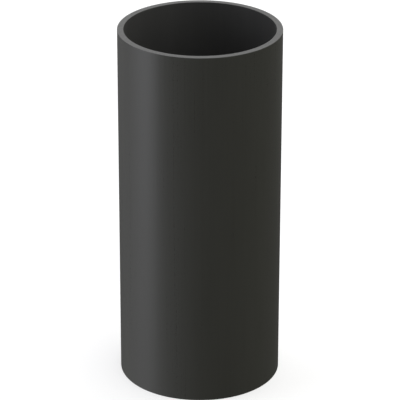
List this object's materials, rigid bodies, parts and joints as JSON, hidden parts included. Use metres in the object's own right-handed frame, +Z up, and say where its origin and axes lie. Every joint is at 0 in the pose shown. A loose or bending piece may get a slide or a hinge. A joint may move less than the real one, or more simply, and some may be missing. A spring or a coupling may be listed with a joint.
{
  "type": "downpipe",
  "caption": "Short plain-ended length of round rainwater downpipe: a straight dark grey rigid plastic tube with an open bore, sawn square at both ends, that carries roof water down a wall.",
  "frame": {"origin": "centre of the lower sawn end, on the tube's axis, where it stands on the floor", "axes": "+Z up along the tube's axis to the upper end; the tube is round, so +X and +Y are interchangeable, with +X to the right and +Y away as the picture sees it"},
  "size_m": [0.08, 0.08, 0.1814],
  "materials": {
    "rigid_pvc": "through-coloured dark anthracite grey rigid PVC; satin extruded walls, paler matt sawn ends"
  },
  "bodies": {
    "root": {"downpipe": "rigid_pvc"}
  },
  "joints": []
}
